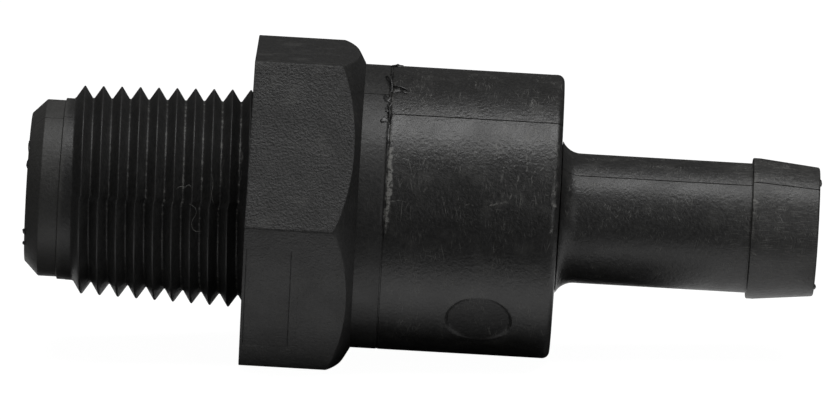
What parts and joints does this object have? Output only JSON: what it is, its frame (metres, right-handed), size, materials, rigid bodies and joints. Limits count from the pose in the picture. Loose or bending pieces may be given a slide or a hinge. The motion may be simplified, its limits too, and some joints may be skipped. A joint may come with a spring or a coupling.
{
  "type": "pcv valve",
  "caption": "Black moulded inline crankcase ventilation valve with a tapered pipe thread, a hexagon, a round barrel and a hose barb; a sprung pintle slides inside.",
  "frame": {"origin": "on the valve's axis, in the hexagon's thread-side face", "axes": "+X along the flow, from the thread to the hose barb; +Z square to a flat of the hexagon, up as the valve lies"},
  "size_m": [0.0777, 0.0348, 0.0302],
  "materials": {
    "black_nylon": "matte glass-filled nylon",
    "plated_steel": "zinc-plated stamping",
    "pintle_plastic": "smooth natural acetal",
    "spring_steel": "bright spring wire"
  },
  "bodies": {
    "valve_body": {"inlet_base": "black_nylon", "outlet_housing": "black_nylon", "metering_washer": "plated_steel", "return_spring": "spring_steel"},
    "pintle": {"pintle": "pintle_plastic"}
  },
  "joints": [
    {"name": "pintle_slide", "type": "slide", "parent": "valve_body", "child": "pintle", "axis": [1, 0, 0], "range_m": [0, 0.0067], "stiffness_N_per_m": 285, "springref_m": -0.0017, "deforming": ["return_spring"]}
  ]
}
